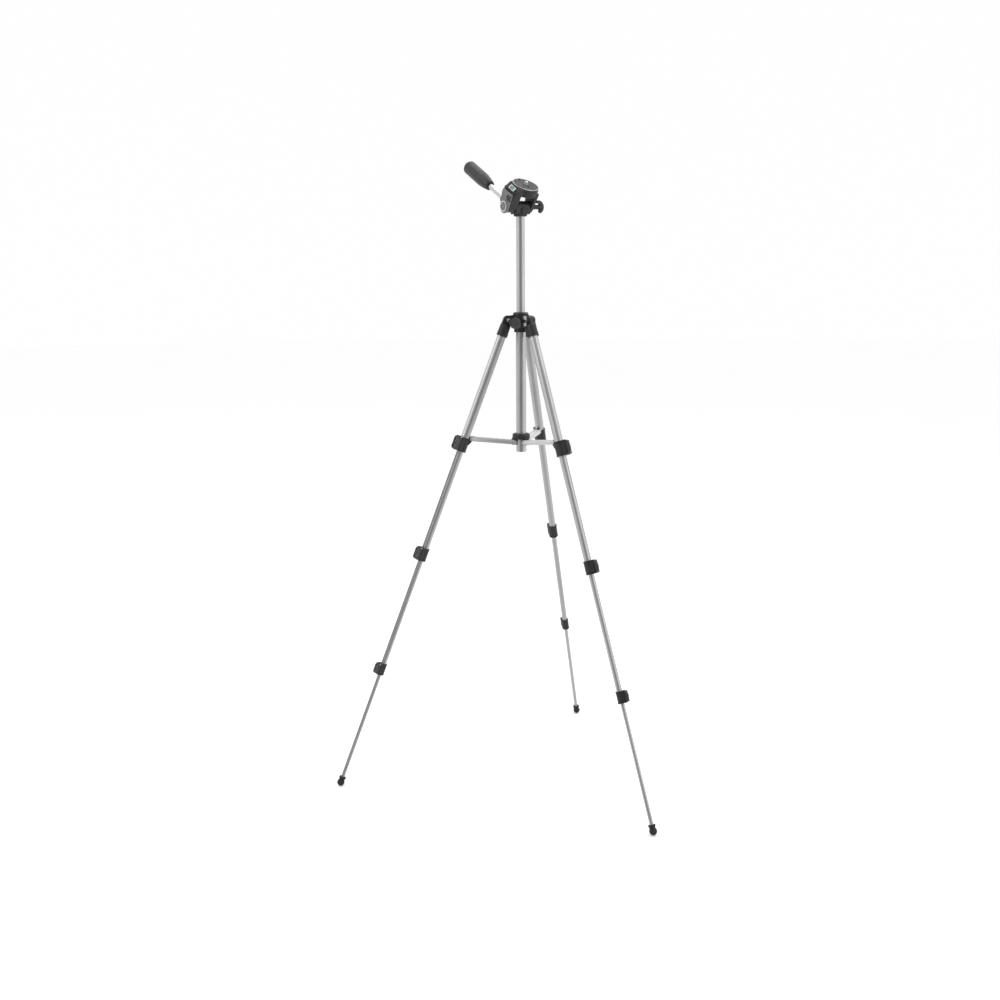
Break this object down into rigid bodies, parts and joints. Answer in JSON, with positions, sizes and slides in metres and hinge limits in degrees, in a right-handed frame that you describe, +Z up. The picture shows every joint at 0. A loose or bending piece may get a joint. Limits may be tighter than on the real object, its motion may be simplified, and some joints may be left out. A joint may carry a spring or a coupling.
{
  "type": "compact tripod with pan and tilt head",
  "caption": "Free-standing telescoping tripod with clamp legs, a channel-brace spreader, a sliding centre column and a pan and tilt head with a handle and a camera screw.",
  "frame": {"origin": "on the floor, at the middle of the box around the whole tripod", "axes": "+Z up along the centre column, legs at 190, 310 and 70 degrees from +X"},
  "size_m": [0.596, 0.624, 1.1823],
  "materials": {
    "black_plastic": "fine moulded grain",
    "grey_plastic": "satin moulded",
    "satin_aluminium": "satin anodised",
    "steel": "bright",
    "rubber": "matt",
    "vial_green": "clear tinted"
  },
  "bodies": {
    "frame": {"crown": "black_plastic", "guide_tube": "satin_aluminium", "guide_end_plug": "rubber", "left_hinge_pin": "steel", "right_hinge_pin": "steel", "back_hinge_pin": "steel"},
    "column": {"centre_column": "satin_aluminium"},
    "column_lock": {"column_lock_knob": "black_plastic"},
    "spreader": {"spreader_hub": "black_plastic", "left_brace_rivet": "steel", "right_brace_rivet": "steel", "back_brace_rivet": "steel"},
    "left_leg": {"left_shoulder": "black_plastic", "left_tube_1": "satin_aluminium", "left_clamp_1": "black_plastic"},
    "left_section_2": {"left_tube_2": "satin_aluminium", "left_clamp_2": "black_plastic"},
    "left_section_3": {"left_tube_3": "satin_aluminium", "left_clamp_3": "black_plastic"},
    "left_section_4": {"left_tube_4": "satin_aluminium", "left_foot": "rubber"},
    "left_lever_1": {"left_lever_1": "grey_plastic"},
    "left_lever_2": {"left_lever_2": "grey_plastic"},
    "left_lever_3": {"left_lever_3": "grey_plastic"},
    "left_brace": {"left_brace": "satin_aluminium"},
    "right_leg": {"right_shoulder": "black_plastic", "right_tube_1": "satin_aluminium", "right_clamp_1": "black_plastic"},
    "right_section_2": {"right_tube_2": "satin_aluminium", "right_clamp_2": "black_plastic"},
    "right_section_3": {"right_tube_3": "satin_aluminium", "right_clamp_3": "black_plastic"},
    "right_section_4": {"right_tube_4": "satin_aluminium", "right_foot": "rubber"},
    "right_lever_1": {"right_lever_1": "grey_plastic"},
    "right_lever_2": {"right_lever_2": "grey_plastic"},
    "right_lever_3": {"right_lever_3": "grey_plastic"},
    "right_brace": {"right_brace": "satin_aluminium"},
    "back_leg": {"back_shoulder": "black_plastic", "back_tube_1": "satin_aluminium", "back_clamp_1": "black_plastic"},
    "back_section_2": {"back_tube_2": "satin_aluminium", "back_clamp_2": "black_plastic"},
    "back_section_3": {"back_tube_3": "satin_aluminium", "back_clamp_3": "black_plastic"},
    "back_section_4": {"back_tube_4": "satin_aluminium", "back_foot": "rubber"},
    "back_lever_1": {"back_lever_1": "grey_plastic"},
    "back_lever_2": {"back_lever_2": "grey_plastic"},
    "back_lever_3": {"back_lever_3": "grey_plastic"},
    "back_brace": {"back_brace": "satin_aluminium"},
    "pan_head": {"pan_base": "black_plastic"},
    "tilt_lock": {"wing_knob": "black_plastic"},
    "tilt_head": {"tilt_body": "black_plastic", "side_plate": "grey_plastic", "bubble_vial": "vial_green", "locating_pin": "black_plastic"},
    "handle": {"handle_rod": "steel", "handle_grip": "rubber"},
    "camera_screw": {"camera_screw": "steel"}
  },
  "joints": [
    {"name": "left_leg_fold", "type": "hinge", "parent": "frame", "child": "left_leg", "pos_m": [0.0367, -0.03534, 0.89023], "axis": [0.1736, -0.9848, 0], "range_deg": [0, 19.14]},
    {"name": "left_slide_2", "type": "slide", "parent": "left_leg", "child": "left_section_2", "axis": [0.3471, 0.0612, 0.9358], "range_m": [0, 0.19]},
    {"name": "left_lever_1_open", "type": "hinge", "parent": "left_leg", "child": "left_lever_1", "pos_m": [-0.05387, -0.06663, 0.66375], "axis": [0.3471, 0.0612, 0.9358], "range_deg": [0, 100]},
    {"name": "left_slide_3", "type": "slide", "parent": "left_section_2", "child": "left_section_3", "axis": [0.3471, 0.0612, 0.9358], "range_m": [0, 0.204]},
    {"name": "left_lever_2_open", "type": "hinge", "parent": "left_section_2", "child": "left_lever_2", "pos_m": [-0.13057, -0.07816, 0.45594], "axis": [0.3471, 0.0612, 0.9358], "range_deg": [0, 100]},
    {"name": "left_slide_4", "type": "slide", "parent": "left_section_3", "child": "left_section_4", "axis": [0.3471, 0.0612, 0.9358], "range_m": [0, 0.21]},
    {"name": "left_lever_3_open", "type": "hinge", "parent": "left_section_3", "child": "left_lever_3", "pos_m": [-0.21213, -0.09012, 0.23394], "axis": [0.3471, 0.0612, 0.9358], "range_deg": [0, 100]},
    {"name": "left_brace_fold", "type": "hinge", "parent": "spreader", "child": "left_brace", "pos_m": [0.04783, -0.03338, 0.66231], "axis": [0.1736, -0.9848, 0], "range_deg": [0, 92.79]},
    {"name": "right_leg_fold", "type": "hinge", "parent": "frame", "child": "right_leg", "pos_m": [0.07706, -0.05003, 0.89023], "axis": [0.766, 0.6428, 0], "range_deg": [0, 19.19]},
    {"name": "right_slide_2", "type": "slide", "parent": "right_leg", "child": "right_section_2", "axis": [-0.2266, 0.27, 0.9358], "range_m": [0, 0.19]},
    {"name": "right_lever_1_open", "type": "hinge", "parent": "right_leg", "child": "right_lever_1", "pos_m": [0.14945, -0.11282, 0.66375], "axis": [-0.2266, 0.27, 0.9358], "range_deg": [0, 100]},
    {"name": "right_slide_3", "type": "slide", "parent": "right_section_2", "child": "right_section_3", "axis": [-0.2266, 0.27, 0.9358], "range_m": [0, 0.204]},
    {"name": "right_lever_2_open", "type": "hinge", "parent": "right_section_2", "child": "right_lever_2", "pos_m": [0.19778, -0.17348, 0.45594], "axis": [-0.2266, 0.27, 0.9358], "range_deg": [0, 100]},
    {"name": "right_slide_4", "type": "slide", "parent": "right_section_3", "child": "right_section_4", "axis": [-0.2266, 0.27, 0.9358], "range_m": [0, 0.21]},
    {"name": "right_lever_3_open", "type": "hinge", "parent": "right_section_3", "child": "right_lever_3", "pos_m": [0.24892, -0.23813, 0.23394], "axis": [-0.2266, 0.27, 0.9358], "range_deg": [0, 100]},
    {"name": "right_brace_fold", "type": "hinge", "parent": "spreader", "child": "right_brace", "pos_m": [0.0698, -0.04137, 0.66231], "axis": [0.766, 0.6428, 0], "range_deg": [0, 92.79]},
    {"name": "back_leg_fold", "type": "hinge", "parent": "frame", "child": "back_leg", "pos_m": [0.0696, -0.00773, 0.89023], "axis": [-0.9397, 0.342, 0], "range_deg": [0, 19.19]},
    {"name": "back_slide_2", "type": "slide", "parent": "back_leg", "child": "back_section_2", "axis": [-0.1206, -0.3312, 0.9358], "range_m": [0, 0.19]},
    {"name": "back_lever_1_open", "type": "hinge", "parent": "back_leg", "child": "back_lever_1", "pos_m": [0.08779, 0.08636, 0.66375], "axis": [-0.1206, -0.3312, 0.9358], "range_deg": [0, 100]},
    {"name": "back_slide_3", "type": "slide", "parent": "back_section_2", "child": "back_section_3", "axis": [-0.1206, -0.3312, 0.9358], "range_m": [0, 0.204]},
    {"name": "back_lever_2_open", "type": "hinge", "parent": "back_section_2", "child": "back_lever_2", "pos_m": [0.11615, 0.15854, 0.45594], "axis": [-0.1206, -0.3312, 0.9358], "range_deg": [0, 100]},
    {"name": "back_slide_4", "type": "slide", "parent": "back_section_3", "child": "back_section_4", "axis": [-0.1206, -0.3312, 0.9358], "range_m": [0, 0.21]},
    {"name": "back_lever_3_open", "type": "hinge", "parent": "back_section_3", "child": "back_lever_3", "pos_m": [0.14658, 0.23516, 0.23394], "axis": [-0.1206, -0.3312, 0.9358], "range_deg": [0, 100]},
    {"name": "back_brace_fold", "type": "hinge", "parent": "spreader", "child": "back_brace", "pos_m": [0.06574, -0.01835, 0.66231], "axis": [-0.9397, 0.342, 0], "range_deg": [0, 92.79]},
    {"name": "spreader_slide", "type": "slide", "parent": "frame", "child": "spreader", "axis": [0, 0, 1], "range_m": [0, 0.07909]},
    {"name": "column_slide", "type": "slide", "parent": "frame", "child": "column", "axis": [0, 0, 1], "range_m": [-0.158, 0.045]},
    {"name": "column_lock_turn", "type": "hinge", "parent": "frame", "child": "column_lock", "pos_m": [0.05377, -0.05124, 0.8845], "axis": [-0.342, -0.9397, 0], "range_deg": [-180, 180]},
    {"name": "pan", "type": "hinge", "parent": "column", "child": "pan_head", "pos_m": [0.06112, -0.03103, 1.084], "axis": [0, 0, 1], "continuous": true},
    {"name": "tilt", "type": "hinge", "parent": "pan_head", "child": "tilt_head", "pos_m": [0.06112, -0.03103, 1.094], "axis": [0.809, 0.5878, 0], "range_deg": [-48.5, 50.5]},
    {"name": "tilt_lock_turn", "type": "hinge", "parent": "pan_head", "child": "tilt_lock", "pos_m": [0.09672, -0.00517, 1.094], "axis": [0.809, 0.5878, 0], "range_deg": [-90, 90]},
    {"name": "handle_twist", "type": "hinge", "parent": "tilt_head", "child": "handle", "pos_m": [0.03275, -0.01921, 1.10854], "axis": [-0.5141, 0.7076, 0.4848], "range_deg": [-120, 120]},
    {"name": "camera_screw_turn", "type": "hinge", "parent": "tilt_head", "child": "camera_screw", "pos_m": [0.07075, -0.04428, 1.1318], "axis": [0.285, -0.3922, 0.8746], "continuous": true}
  ],
  "couplings": [
    {"joint": "left_brace_fold", "follows": "left_leg_fold", "ratio": 4.8376},
    {"joint": "right_leg_fold", "follows": "left_leg_fold", "ratio": 1},
    {"joint": "right_brace_fold", "follows": "left_leg_fold", "ratio": 4.8376},
    {"joint": "back_leg_fold", "follows": "left_leg_fold", "ratio": 1},
    {"joint": "back_brace_fold", "follows": "left_leg_fold", "ratio": 4.8376},
    {"joint": "spreader_slide", "follows": "left_leg_fold", "m_per_rad": 0.23585}
  ]
}
